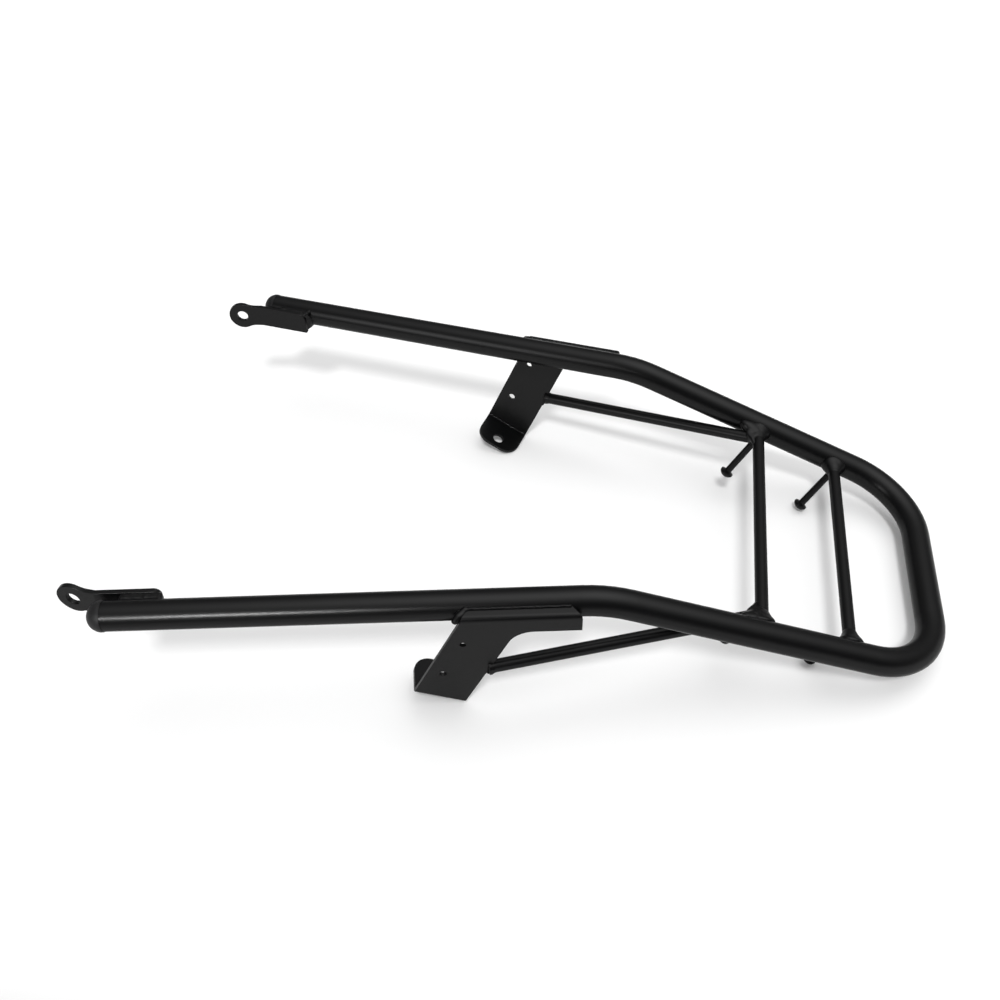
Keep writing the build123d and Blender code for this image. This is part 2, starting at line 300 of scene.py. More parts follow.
@dataclass(frozen=True)
class PaleFloor:
    """Matte white studio paper, which takes the rack's soft shadow, and is painted grey in front of it as
    shade.
    """

    name: str = "matte_white_paper"
    colour: str = "#e4e4e4"
    # Grey of the shade painted on the paper in front of the rack
    front_painted_shade_colour: str = "#6a6a6a"
    painted_shade_start: float = -0.37
    painted_shade_full: float = -0.58
    roughness: float = 1.0
    gloss: float = 0.0
    glow: float = 0.13

    def material(self) -> bpy.types.Material:
        """Build the paper, lifted to white where it is looked at.

        Returns:
            The new material.
        """
        made, tree, shader, place = blank_finish(self.name)
        # Painted shade: the paper is coloured grey in front of the rack, which gives the tubes the dark band
        # under their highlight
        depth = add_node(tree, "ShaderNodeSeparateXYZ", {"Vector": place}).outputs["Y"]
        front = add_node(
            tree, "ShaderNodeMapRange",
            {"Value": depth, "From Min": self.painted_shade_start, "From Max": self.painted_shade_full},
            interpolation_type="SMOOTHSTEP",
        ).outputs["Result"]
        colour = add_node(
            tree, "ShaderNodeMix",
            {"Factor": front, MIX_FIRST: linear(self.colour), MIX_SECOND: linear(self.front_painted_shade_colour)},
            data_type="RGBA",
        ).outputs[MIX_RESULT]
        tree.links.new(colour, shader.inputs["Base Color"])
        shader.inputs["Roughness"].default_value = self.roughness
        shader.inputs["Specular IOR Level"].default_value = self.gloss
        # The paper is lifted for the eye and for reflections, and throws no more light on the rack
        rays = add_node(tree, "ShaderNodeLightPath").outputs
        seen = add_node(
            tree, "ShaderNodeMath",
            {0: rays["Is Camera Ray"], 1: rays["Is Glossy Ray"]},
            operation="MAXIMUM",
        ).outputs[0]
        seen = add_node(
            tree, "ShaderNodeMath",
            {0: seen, 1: rays["Is Transmission Ray"]},
            operation="MAXIMUM",
        ).outputs[0]
        lift = add_node(tree, "ShaderNodeMath", {0: seen, 1: self.glow}, operation="MULTIPLY").outputs[0]
        shader.inputs["Emission Color"].default_value = WHITE
        tree.links.new(lift, shader.inputs["Emission Strength"])
        return made


@dataclass(frozen=True)
class RackLines:
    """Centre lines of the rack in millimetres about its knees, on the right-hand side."""

    origin: Vector
    tube_od: float = 22.2
    knee_spread: float = 278.0
    front_length: float = 356.0
    flare_deg: float = 10.1
    taper_deg: float = 8.4
    drop_deg: float = 19.3
    knee_radius: float = 105.0
    bar_diameter: float = 10.0
    front_bar_reach: float = 112.0
    rear_bar_reach: float = 179.6

    @classmethod
    def on_crossbar(cls, box: tuple[Vector, Vector]) -> "RackLines":
        """Place the lines by the front crossbar.

        Args:
            box: The front crossbar's lowest and highest corners, in metres.

        Returns:
            The lines, with the knees' place in the frame.
        """
        blank = cls(Vector())
        middle = (Vector(box[0]) + Vector(box[1])) / (2 * MM)
        bar = blank.rear_rail(blank.front_bar_reach)
        return cls(Vector((middle.x - bar.x, 0.0, middle.z - bar.z)))

    @property
    def tube_r(self) -> float:
        """The tube's outer radius."""
        return self.tube_od / 2

    @property
    def bar_r(self) -> float:
        """The crossbars' and braces' radius."""
        return self.bar_diameter / 2

    @property
    def rail_dir(self) -> Vector:
        """The front rail's heading, rearwards."""
        return Vector((cos(radians(self.flare_deg)), -sin(radians(self.flare_deg)), 0.0))

    @property
    def rear_dir(self) -> Vector:
        """The rear rail's heading, rearwards."""
        return Vector((1.0, -tan(radians(self.taper_deg)), -tan(radians(self.drop_deg)))).normalized()

    def rear_rail(self, reach: float) -> Vector:
        """Point of the rear rail's axis.

        Args:
            reach: Distance behind the knee.

        Returns:
            The point.
        """
        drop = reach * tan(radians(self.drop_deg))
        return Vector((reach, self.knee_spread / 2 - reach * tan(radians(self.taper_deg)), -drop))

    def inside_rail(self, reach: float, gap: float) -> Vector:
        """Point of a crossbar's axis.

        Args:
            reach: Distance behind the knee.
            gap: Distance inwards from the rail's wall.

        Returns:
            The point.
        """
        return self.rear_rail(reach) - Vector((0.0, self.tube_r + gap, 0.0))

    def beside_rail(self, along: float, out: float, up: float) -> Vector:
        """Point given along, out from and above the front rail's axis.

        Args:
            along: Distance behind the knee.
            out: Distance outwards.
            up: Distance upwards.

        Returns:
            The point.
        """
        out_dir = UP.cross(self.rail_dir)
        return self.rear_rail(0.0) + self.rail_dir * along + out_dir * out + UP * up

    @property
    def knee_tangent(self) -> float:
        """Length of front rail that the knee's bend takes up."""
        return self.knee_radius * tan(self.rail_dir.angle(self.rear_dir) / 2)

    def placed(self, point: Vector, side: Side) -> Vector:
        """A right-hand point, put on a side of the rack.

        Args:
            point: The point in millimetres about the knees.
            side: The side that it goes on.

        Returns:
            The point in metres in the shared frame.
        """
        moved = (point + self.origin) * MM
        return Vector((moved.x, moved.y * side.value, moved.z))


def meet_bar(start: Vector, heading: Vector, axis_point: Vector, axis_dir: Vector, radius: float) -> Vector:
    """Point where a straight line first meets a round bar.

    Args:
        start: A point outside the bar.
        heading: The line's direction, towards the bar.
        axis_point: A point of the bar's axis.
        axis_dir: The axis's direction, of length one.
        radius: The bar's radius.

    Returns:
        The meeting point, or the nearest point where the line just misses.
    """
    offset = start - axis_point
    across = offset - axis_dir * offset.dot(axis_dir)
    ahead = heading - axis_dir * heading.dot(axis_dir)
    square = ahead.dot(ahead)
    half = across.dot(ahead)
    inside = max(half * half - square * (across.dot(across) - radius * radius), 0.0)
    return start + heading * ((-half - sqrt(inside)) / square)


@dataclass
class BeadPath:
    """A line that a weld was laid along, in millimetres about the knees."""

    points: list[Vector]
    radii: list[float]
    closed: bool = False


@dataclass(frozen=True)
class BeadRing:
    """One ring of a weld that tapers along a round bar: how far back, how far out, and its bead's radius."""

    back: float
    out: float
    bead: float


@dataclass(frozen=True)
class BeadStop:
    """A stop of a bead: its share of the way, and its size beside the usual one."""

    share: float
    swell: float


@dataclass(frozen=True)
class FillSpot:
    """Weld metal in a crossbar's corner: how far ahead, how far in, and its share of the usual size."""

    lead: float
    gap: float
    share: float


class WeldTree:
    """Geometry nodes that lay overlapping puddles along a path and run them together."""

    voxel_mm: float = 0.42
    ball_detail: int = 3
    least_swell: tuple[float, float, float] = (0.86, 0.9, 0.9)
    most_swell: tuple[float, float, float] = (1.12, 1.1, 1.1)
    fog_band_mm: float = 2.0
    fog_level: float = 0.1
    lump_mm: float = 4.5
    lump_depth_mm: float = 0.4
    noise_middle: float = 0.5

    def __init__(self) -> None:
        """Build the tree once, for all the welds."""
        self.tree = bpy.data.node_groups.new("weld_puddles", "GeometryNodeTree")
        face = self.tree.interface
        face.new_socket("Path", in_out="INPUT", socket_type="NodeSocketGeometry")
        self.pitch = face.new_socket("Puddle Pitch", in_out="INPUT", socket_type="NodeSocketFloat").identifier
        self.voxel = face.new_socket("Voxel", in_out="INPUT", socket_type="NodeSocketFloat").identifier
        self.lump = face.new_socket("Lump Depth", in_out="INPUT", socket_type="NodeSocketFloat").identifier
        self.flow = face.new_socket("Flow Steps", in_out="INPUT", socket_type="NodeSocketInt").identifier
        self.seed = face.new_socket("Seed", in_out="INPUT", socket_type="NodeSocketInt").identifier
        self.coat = face.new_socket("Coat", in_out="INPUT", socket_type="NodeSocketMaterial").identifier
        face.new_socket("Bead", in_out="OUTPUT", socket_type="NodeSocketGeometry")
        self.wire()

    def wire(self) -> None:
        """Add and link the nodes."""
        tree = self.tree
        given = add_node(tree, "NodeGroupInput").outputs
        line = add_node(tree, "GeometryNodeMeshToCurve", {"Mesh": given["Path"]}).outputs["Curve"]
        steps = add_node(
            tree, "GeometryNodeResampleCurve",
            {"Curve": line, "Length": given["Puddle Pitch"]},
            mode="LENGTH",
        ).outputs["Curve"]
        ball = add_node(
            tree, "GeometryNodeMeshIcoSphere",
            {"Radius": 1.0, "Subdivisions": self.ball_detail},
        ).outputs["Mesh"]
        radius = add_node(
            tree, "GeometryNodeInputNamedAttribute",
            {"Name": "bead_radius"},
            data_type="FLOAT",
        ).outputs["Attribute"]
        uneven = add_node(
            tree, "FunctionNodeRandomValue",
            {"Min": self.least_swell, "Max": self.most_swell, "Seed": given["Seed"]},
            data_type="FLOAT_VECTOR",
        ).outputs[0]
        size = add_node(
            tree, "ShaderNodeVectorMath",
            {"Vector": uneven, "Scale": radius},
            operation="SCALE",
        ).outputs["Vector"]
        tangent = add_node(tree, "GeometryNodeInputTangent").outputs[0]
        turn = add_node(
            tree, "FunctionNodeAlignRotationToVector",
            {"Vector": tangent},
            axis="X",
        ).outputs["Rotation"]
        puddles = add_node(
            tree, "GeometryNodeInstanceOnPoints",
            {"Points": steps, "Instance": ball, "Rotation": turn, "Scale": size},
        ).outputs["Instances"]
        solid = add_node(tree, "GeometryNodeRealizeInstances", {"Geometry": puddles}).outputs["Geometry"]
        fog = add_node(
            tree, "GeometryNodeMeshToVolume",
            {
                "Mesh": solid,
                "Voxel Size": given["Voxel"],
                "Density": 1.0,
                "Interior Band Width": self.fog_band_mm * MM,
            },
            resolution_mode="VOXEL_SIZE",
        ).outputs["Volume"]
        skin = add_node(
            tree, "GeometryNodeVolumeToMesh",
            {"Volume": fog, "Voxel Size": given["Voxel"], "Threshold": self.fog_level},
            resolution_mode="VOXEL_SIZE",
        ).outputs["Mesh"]
        place = add_node(tree, "GeometryNodeInputPosition").outputs[0]
        eased = add_node(
            tree, "GeometryNodeBlurAttribute",
            {"Value": place, "Iterations": given["Flow Steps"]},
            data_type="FLOAT_VECTOR",
        ).outputs["Value"]
        flowed = add_node(
            tree, "GeometryNodeSetPosition",
            {"Geometry": skin, "Position": eased},
        ).outputs["Geometry"]
        noise = add_node(
            tree, "ShaderNodeTexNoise",
            {"Scale": waves_per_metre(self.lump_mm), "Detail": 1.0},
        ).outputs["Fac"]
        swing = add_node(
            tree, "ShaderNodeMath",
            {0: noise, 1: self.noise_middle},
            operation="SUBTRACT",
        ).outputs[0]
        rise = add_node(
            tree, "ShaderNodeMath",
            {0: swing, 1: given["Lump Depth"]},
            operation="MULTIPLY",
        ).outputs[0]
        out = add_node(tree, "GeometryNodeInputNormal").outputs[0]
        push = add_node(
            tree, "ShaderNodeVectorMath",
            {"Vector": out, "Scale": rise},
            operation="SCALE",
        ).outputs["Vector"]
        lumpy = add_node(
            tree, "GeometryNodeSetPosition",
            {"Geometry": flowed, "Offset": push},
        ).outputs["Geometry"]
        smooth = add_node(tree, "GeometryNodeSetShadeSmooth", {"Geometry": lumpy}).outputs["Geometry"]
        coated = add_node(
            tree, "GeometryNodeSetMaterial",
            {"Geometry": smooth, "Material": given["Coat"]},
        ).outputs["Geometry"]
        add_node(tree, "NodeGroupOutput", {"Bead": coated})

    def lay(
        self, name: str, paths: Iterable[BeadPath], pitch_mm: float, flow_steps: int, seed: int,
        coat: bpy.types.Material, lines: RackLines, side: Side,
    ) -> bpy.types.Object:
        """Lay a weld along its paths.

        Args:
            name: The piece's name.
            paths: The lines that the weld was laid along.
            pitch_mm: Distance from one puddle to the next.
            flow_steps: How far the puddles run together, in rounds of smoothing.
            seed: Seed of the puddles' uneven sizes.
            coat: The finish over the weld.
            lines: The rack's centre lines.
            side: The side that the weld is on.

        Returns:
            The weld as a plain mesh object at the origin.
        """
        points: list[Vector] = []
        edges: list[tuple[int, int]] = []
        radii: list[float] = []
        for path in paths:
            first = len(points)
            points += [lines.placed(point, side) for point in path.points]
            radii += [radius * MM for radius in path.radii]
            edges += [(i, i + 1) for i in range(first, len(points) - 1)]
            if path.closed:
                edges.append((len(points) - 1, first))
        route = bpy.data.meshes.new(f"{name}_route")
        route.from_pydata(points, edges, [])
        route.attributes.new("bead_radius", "FLOAT", "POINT").data.foreach_set("value", radii)
        carrier = bpy.data.objects.new(f"{name}_route", route)
        bpy.context.collection.objects.link(carrier)
        nodes = carrier.modifiers.new("puddles", "NODES")
        nodes.node_group = self.tree
        nodes[self.pitch] = pitch_mm * MM
        nodes[self.voxel] = self.voxel_mm * MM
        nodes[self.lump] = self.lump_depth_mm * MM
        nodes[self.flow] = flow_steps
        nodes[self.seed] = seed
        nodes[self.coat] = coat
        graph = bpy.context.evaluated_depsgraph_get()
        mesh = bpy.data.meshes.new_from_object(carrier.evaluated_get(graph), depsgraph=graph)
        mesh.name = name
        carrier.modifiers.remove(nodes)
        bpy.data.objects.remove(carrier)
        bpy.data.meshes.remove(route)
        piece = bpy.data.objects.new(name, mesh)
        bpy.context.collection.objects.link(piece)
        return piece


def ring(
    rod_point: Vector, rod_dir: Vector, ring_r: float, axis_point: Vector, axis_dir: Vector, target_r: float,
    back: float, bead_r: float, stretch: float = 1.0,
) -> BeadPath:
    """Path round a rod where it meets a round bar.

    Args:
        rod_point: A point of the rod's axis, clear of the bar.
        rod_dir: The rod's direction towards the bar.
        ring_r: Distance of the path from the rod's axis.
        axis_point: A point of the bar's axis.
        axis_dir: The bar's direction.
        target_r: The bar's radius.
        back: Distance that the path stands back along the rod.
        bead_r: The bead's radius.
        stretch: How much wider the path is along the bar than across it.

    Returns:
        The closed path.
    """
    across = (axis_dir - rod_dir * axis_dir.dot(rod_dir)).normalized()
    beside = rod_dir.cross(across)
    points = []
    for step in range(RING_STEPS):
        turn = 2 * pi * step / RING_STEPS
        start = rod_point + (across * cos(turn) * stretch + beside * sin(turn)) * ring_r
        points.append(meet_bar(start, rod_dir, axis_point, axis_dir, target_r) - rod_dir * back)
    return BeadPath(points, [bead_r] * len(points), closed=True)


@dataclass
class PuddledWelds:
    """Welds laid alike on both sides of the rack, each in place of the frame's plain one."""

    lines: RackLines
    tree: WeldTree
    coat: bpy.types.Material
    pitch: float = 2.2
    flow_steps: int = 14

    def lay(self, welds: dict[str, list[BeadPath]]) -> list[bpy.types.Object]:
        """Lay each weld on both sides.

        Args:
            welds: The places of the welds, with their right-hand paths.

        Returns:
            The pieces, each standing for the frame's weld of the same place.
        """
        pieces = []
        for seed, side in enumerate(Side):
            for place, paths in welds.items():
                node = f"weld_{place}_{side.tag}"
                piece = self.tree.lay(
                    f"puddled_{node}", paths, self.pitch, self.flow_steps, seed, self.coat, self.lines, side,
                )
                adopt(piece, node)
                pieces.append(piece)
        return pieces


@dataclass
class CrossbarWelds(PuddledWelds):
    """Welds of the crossbars' ends, with the hooks' roots and the braces' rear ends beside them."""

    pitch: float = 2.5
    flow_steps: int = 60
    brace_wall_gap: float = 8.7
    hook_r: float = 3.0
    hook_lean_deg: float = 33.4
    hook_splay_deg: float = 12.0
    hook_front_gap: float = 5.6
    hook_rear_gap: float = 4.0
    hook_back: float = 0.4
    hook_bead: float = 1.7
    clear: float = 60.0
    skin: float = 0.7
    flare: float = 4.2
    flare_along: float = 5.6
    flare_run: float = 11.0
    flare_power: float = 1.6
    flare_step: float = 1.5
    flare_bead: float = 2.6
    brace_rings: tuple[BeadRing, ...] = (
        BeadRing(0.4, 0.0, 2.6), BeadRing(2.0, -0.4, 2.3),
        BeadRing(3.6, -0.9, 2.0), BeadRing(5.0, -1.3, 1.8),
    )
    corner_rise: float = 2.4
    corner_r: float = 5.9
    corner_taper: tuple[float, float, float] = (0.85, 1.0, 0.95)
    corner_fill: tuple[FillSpot, ...] = (
        FillSpot(10.0, -0.8, 1.05), FillSpot(8.6, 0.5, 1.02), FillSpot(7.2, 1.8, 0.98),
        FillSpot(5.8, 3.2, 0.94), FillSpot(4.5, 4.6, 0.9),
    )
    inner_rise: float = 1.0
    inner_run: tuple[FillSpot, ...] = (
        FillSpot(10.2, 8.6, 1.0), FillSpot(8.0, 10.6, 1.15), FillSpot(6.2, 12.8, 1.15),
        FillSpot(4.9, 15.2, 1.05), FillSpot(4.0, 18.2, 0.9),
    )

    @property
    def hook_dir(self) -> Vector:
        """The hooks' direction, down from the crossbar."""
        lean, splay = radians(self.hook_lean_deg), radians(self.hook_splay_deg)
        return Vector((-sin(lean) * cos(splay), -sin(splay), -cos(lean) * cos(splay)))

    def bar_end(self, reach: float) -> list[BeadPath]:
        """Rings that flare from a crossbar's end to the rail.

        Args:
            reach: Distance of the crossbar behind the knee.

        Returns:
            The rings, from the rail inwards.
        """
        lines = self.lines
        end = lines.rear_rail(reach)
        far = end + INWARDS * self.clear
        rings = []
        for step in range(int(self.flare_run / self.flare_step) + 1):
            back = step * self.flare_step
            swell = (1 - back / self.flare_run) ** self.flare_power
            core = lines.bar_r + self.skin - self.flare_bead
            ring_r = core + self.flare * swell
            stretch = (core + self.flare_along * swell) / ring_r
            rings.append(
                ring(far, -INWARDS, ring_r, end, lines.rear_dir, lines.tube_r, back, self.flare_bead, stretch)
            )
        return rings

    def hook_root(self, reach: float, gap: float) -> BeadPath:
        """Ring round a hook's root under its crossbar.

        Args:
            reach: Distance of the crossbar behind the knee.
            gap: Distance of the hook from the rail's wall.

        Returns:
            The ring.
        """
        root = self.lines.inside_rail(reach, gap)
        below = root + self.hook_dir * self.clear
        bar_r = self.lines.bar_r
        return ring(below, -self.hook_dir, self.hook_r, root, INWARDS, bar_r, self.hook_back, self.hook_bead)

    def front_paths(self, brace_start: Vector) -> list[BeadPath]:
        """Every bead of a front joint.

        Args:
            brace_start: Where the brace's axis leaves its bracket.

        Returns:
            The beads of the crossbar's end, the hook's root, the brace's end and the filled corners.
        """
        lines = self.lines
        reach = lines.front_bar_reach
        paths = self.bar_end(reach)
        paths.append(self.hook_root(reach, self.hook_front_gap))
        brace_end = lines.inside_rail(reach, self.brace_wall_gap)
        heading = (brace_end - brace_start).normalized()
        ahead = brace_end - heading * self.clear
        for level in self.brace_rings:
            ring_r = lines.bar_r + level.out
            paths.append(
                ring(ahead, heading, ring_r, brace_end, INWARDS, lines.bar_r, level.back, level.bead)
            )
        # Weld metal also fills the corner between the rail and the brace, and swells up the rail ahead of it
        run = lines.rear_dir * self.pitch
        for fill in self.corner_fill:
            spot = lines.inside_rail(reach - fill.lead, fill.gap) + UP * self.corner_rise * fill.share
            radii = [self.corner_r * fill.share * taper for taper in self.corner_taper]
            paths.append(BeadPath([spot - run, spot, spot + run], radii))
        # A thinner run closes the corner on the brace's other side
        rise = UP * self.inner_rise
        spots = [lines.inside_rail(reach - fill.lead, fill.gap) + rise for fill in self.inner_run]
        paths.append(BeadPath(spots, [self.flare_bead * fill.share for fill in self.inner_run]))
        return paths

    def rear_paths(self) -> list[BeadPath]:
        """Every bead of a rear joint."""
        reach = self.lines.rear_bar_reach
        return [*self.bar_end(reach), self.hook_root(reach, self.hook_rear_gap)]

    def build(self, brace_start: Vector) -> list[bpy.types.Object]:
        """Lay the four joints' welds.

        Args:
            brace_start: Where the brace's axis leaves its bracket.

        Returns:
            The pieces, each standing for the frame's weld of the same joint.
        """
        return self.lay({"front_joint": self.front_paths(brace_start), "rear_joint": self.rear_paths()})


@dataclass
class BracketWelds(PuddledWelds):
    """Welds of the folded brackets: along the flange, across its front end, and round the brace's foot."""

    sheet: float = 3.0
    lean_deg: float = 7.0
    knee_gap: float = 1.2
    web_gap: float = 4.2
    below_crown: float = 4.1
    flange_length: float = 85.5
    front_cut: float = 7.0
    rear_cut: float = 8.0
    leg_deg: float = 23.5
    leg_width: float = 41.0
    leg_length: float = 103.0
    fold_outer: float = 4.0
    foot_turn_deg: float = 81.0
    brace_rise: float = 52.0
    flange_bite: float = 1.0
    flange_bead: float = 1.7
    flange_lift: float = 0.2
    front_bead: float = 3.8
    front_lead: float = 2.6
    front_stops: tuple[BeadStop, ...] = (
        BeadStop(0.0, 0.9), BeadStop(0.35, 1.0), BeadStop(0.7, 1.0), BeadStop(1.0, 0.85),
    )
    foot_rings: tuple[BeadRing, ...] = (
        BeadRing(0.0, -0.1, 1.7), BeadRing(1.4, -0.6, 1.7),
        BeadRing(2.8, -1.1, 1.7), BeadRing(4.2, -1.4, 1.7),
    )
    tail_bead: float = 1.7
    tail_length: float = 9.0
    tail_stops: tuple[BeadStop, ...] = (BeadStop(0.4, 1.2), BeadStop(0.7, 1.1), BeadStop(1.0, 0.8))

    @property
    def out_dir(self) -> Vector:
        """Outwards from the web, square to it."""
        lean = radians(self.lean_deg)
        return UP.cross(self.lines.rail_dir) * cos(lean) - UP * sin(lean)

    @property
    def up_dir(self) -> Vector:
        """Upwards in the web, square to the rail."""
        return self.lines.rail_dir.cross(self.out_dir)

    @property
    def leg_up(self) -> Vector:
        """Upwards along the slanted leg."""
        leg = radians(self.leg_deg)
        return self.lines.rail_dir * sin(leg) + self.up_dir * cos(leg)

    @property
    def flange_top(self) -> float:
        """Height of the flange's top face over the rail's axis."""
        return self.lines.tube_r - self.below_crown

    @property
    def arm_front(self) -> float:
        """Place of the flange's front end along the rail."""
        return -(self.lines.knee_tangent + self.knee_gap) - self.flange_length

    def at(self, along: float, out: float, up: float) -> Vector:
        """Point given along the rail, out from it and up from it, in the leaning bracket's frame.

        Args:
            along: Distance behind the knee.
            out: Distance outwards.
            up: Distance upwards.

        Returns:
            The point.
        """
        return self.lines.rear_rail(0.0) + self.lines.rail_dir * along + self.out_dir * out + self.up_dir * up

    @property
    def brace_start(self) -> Vector:
        """Where the brace's axis meets the leg's rear edge.

        Returns:
            The point.
        """
        leg = radians(self.leg_deg)
        setback = self.fold_outer * tan(radians(self.foot_turn_deg / 2))
        leg_flat = self.leg_length - self.fold_outer / cos(leg) - setback
        along = self.lines.rail_dir * cos(leg) - self.up_dir * sin(leg)
        web = self.at(self.arm_front, self.lines.tube_r + self.web_gap + self.sheet / 2, self.web_top)
        return web - self.leg_up * (leg_flat - self.brace_rise + setback) + along * self.leg_width

    @property
    def web_top(self) -> float:
        """Height where the web ends and its upper fold begins."""
        return self.flange_top - self.fold_outer

    def flange_paths(self) -> list[BeadPath]:
        """The bead along the flange and the one across the cut at its front end.

        Returns:
            The two beads.
        """
        contact = sqrt(self.lines.tube_r**2 - self.flange_top**2)
        front = self.arm_front + self.front_cut
        rear = self.arm_front + self.flange_length - self.rear_cut
        along = [
            self.at(end, contact + self.flange_bite / 2, self.flange_top + self.flange_lift)
            for end in (front, rear)
        ]
        low = self.at(self.arm_front - self.front_lead, self.lines.tube_r + self.web_gap, self.web_top)
        high = self.at(front - self.front_lead, contact, self.flange_top - self.sheet / 2)
        across = [low.lerp(high, stop.share) for stop in self.front_stops]
        fat = [self.front_bead * stop.swell for stop in self.front_stops]
        return [BeadPath(along, [self.flange_bead] * len(along)), BeadPath(across, fat)]

    def foot_path(self, heading: Vector) -> list[BeadPath]:
        """The bead round the brace's butt on the leg.

        Args:
            heading: The brace's direction from the leg.

        Returns:
            Rings that taper along the brace, and a tail down the leg's edge.
        """
        across = heading.orthogonal().normalized()
        beside = heading.cross(across)
        paths = []
        for level in self.foot_rings:
            middle = self.brace_start + heading * level.back
            ring_r = self.lines.bar_r + level.out
            points = []
            for step in range(RING_STEPS):
                turn = 2 * pi * step / RING_STEPS
                points.append(middle + (across * cos(turn) + beside * sin(turn)) * ring_r)
            paths.append(BeadPath(points, [level.bead] * RING_STEPS, closed=True))
        # The weld runs out a little way down the leg's edge, under the brace
        edge = [self.brace_start - self.leg_up * self.tail_length * stop.share for stop in self.tail_stops]
        paths.append(BeadPath(edge, [self.tail_bead * stop.swell for stop in self.tail_stops]))
        return paths

    def build(self, brace_end: Vector) -> list[bpy.types.Object]:
        """Lay the welds of both brackets.

        Args:
            brace_end: Where the brace's axis meets the front crossbar's.

        Returns:
            The pieces, each standing for the frame's weld of the same place.
        """
        heading = (brace_end - self.brace_start).normalized()
        return self.lay({"bracket": self.flange_paths(), "brace": self.foot_path(heading)})


@dataclass
class TabWelds(PuddledWelds):
    """Welds between the front tabs and the rails."""

    overlap: float = 38.5
    standoff: float = 2.9
    length: float = 29.0
    rows: int = 6
    crest: float = 6.1
    trough: float = -7.4
    bead: float = 2.4
    tail_bead: float = 2.5
    tail: float = 1.6
    tail_taper: float = 0.7
    top_shares: tuple[float, ...] = (0.15, 0.7)
    row_shares: tuple[float, ...] = (0.5,)
    tab_thickness: float = 4.0
    ramp_rows: int = 8
    ramp_low: float = -9.6
    ramp_bead: float = 1.7
    ramp_skin: float = 0.5
    ramp_run: float = 0.6

    def paths(self) -> list[BeadPath]:
        """Rows of puddles, one over another, that fill the gap and slope to the tube behind the tab.

        Returns:
            The rows of the fill from the top down, then those of the slope.
        """
        lines = self.lines
        back = self.overlap - lines.front_length
        front = back - self.length + self.bead
        rows = []
        for row in range(self.rows):
            up = self.crest + (self.trough - self.crest) * row / (self.rows - 1)
            wall = sqrt(lines.tube_r**2 - up**2)
            gap = lines.tube_r + self.standoff - wall
            end = back + self.tail * (1 - self.tail_taper * (up / self.crest)**2)
            # The top row is two puddles wide, so that the fill lies flat between the tube and the tab
            for share in self.top_shares if row == 0 else self.row_shares:
                out = wall + gap * share
                stops = (
                    (front, out, self.bead),
                    (back, out, self.tail_bead),
                    (end, wall - self.bead / 2, self.bead),
                )
                rows.append(BeadPath(
                    [lines.beside_rail(along, -away, up) for along, away, _ in stops],
                    [bead for _, _, bead in stops],
                ))
        return rows + self.ramp(back)

    def ramp(self, back: float) -> list[BeadPath]:
        """Rows that slope from the tab's end face to the tube.

        Args:
            back: Place of the tab's end along the rail.

        Returns:
            The rows, from the top down.
        """
        lines = self.lines
        face = lines.tube_r + self.standoff + self.tab_thickness - self.ramp_bead - self.ramp_skin
        rows = []
        for row in range(self.ramp_rows):
            up = self.crest + (self.ramp_low - self.crest) * row / (self.ramp_rows - 1)
            wall = sqrt(lines.tube_r**2 - up**2)
            stops = ((back - self.ramp_bead, face), (back + self.ramp_run, wall))
            rows.append(BeadPath(
                [lines.beside_rail(along, -away, up) for along, away in stops],
                [self.ramp_bead] * len(stops),
            ))
        return rows

    def build(self) -> list[bpy.types.Object]:
        """Lay the welds of both tabs.

        Returns:
            The pieces, each standing for the frame's weld of the same tab.
        """
        return self.lay({"tab": self.paths()})


@dataclass
class CoatedPlates:
    """Brackets and tabs cut from sheet and flat bar, whose sharp cut edges the coat has rounded."""

    coat: bpy.types.Material
    edge_radius: float = 0.5
    edge_steps: int = 2
    flat_deg: float = 0.5
    sharp_deg: float = 28.0
    weld_gap: float = 0.002

    def rounded(self, node: str) -> bpy.types.Object:
        """Copy a plate with its edges rounded.

        Args:
            node: The frame's node.

        Returns:
            The copy, which stands for the node.
        """
        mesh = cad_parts[node].data.copy()
        mesh.name = f"coated_{node}"
        work = bmesh.new()
        work.from_mesh(mesh)
        bmesh.ops.remove_doubles(work, verts=work.verts, dist=self.weld_gap * MM)
        bmesh.ops.dissolve_limit(
            work,
            angle_limit=radians(self.flat_deg),
            verts=work.verts,
            edges=work.edges,
            delimit={"NORMAL"},
        )
        work.to_mesh(mesh)
        work.free()
        if mesh.has_custom_normals:
            mesh.attributes.remove(mesh.attributes["custom_normal"])
        mesh.shade_smooth()
        piece = bpy.data.objects.new(mesh.name, mesh)
        bpy.context.collection.objects.link(piece)
        bevel = piece.modifiers.new("coated edge", "BEVEL")
        bevel.width = self.edge_radius * MM
        bevel.segments = self.edge_steps
        bevel.limit_method = "ANGLE"
        bevel.angle_limit = radians(self.sharp_deg)
        bevel.harden_normals = True
        dress(piece, self.coat)
        adopt(piece, node)
        return piece

    def build(self) -> list[bpy.types.Object]:
        """Round the edges of both brackets and both tabs.

        Returns:
            The four pieces.
        """
        return [self.rounded(f"{kind}_{side.tag}") for kind in ("mid_bracket", "front_tab") for side in Side]


@dataclass
class TubeFrame:
    """Hoop, crossbars, braces, hooks and caps, which keep the frame's own shapes."""

    finishes: dict[Slot, bpy.types.Material]

    def build(self) -> list[bpy.types.Object]:
        """Give each node its finish.

        Returns:
            The dressed nodes.
        """
        dressed = []
        for node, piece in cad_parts.items():
            if node.startswith(("weld_", "mid_bracket", "front_tab")):
                continue
            slot = Slot.CAP if node.startswith("end_cap") else Slot.COAT
            dress(piece, self.finishes[slot])
            dressed.append(piece)
        return dressed


@dataclass(frozen=True)
class StripLamp:
    """A soft box that lights no floor, and shows only as a highlight along one rail."""

    name: str
    power: float
    size: tuple[float, float]
    spread_deg: float
    place: tuple[float, float, float]
    aim: tuple[float, float, float]


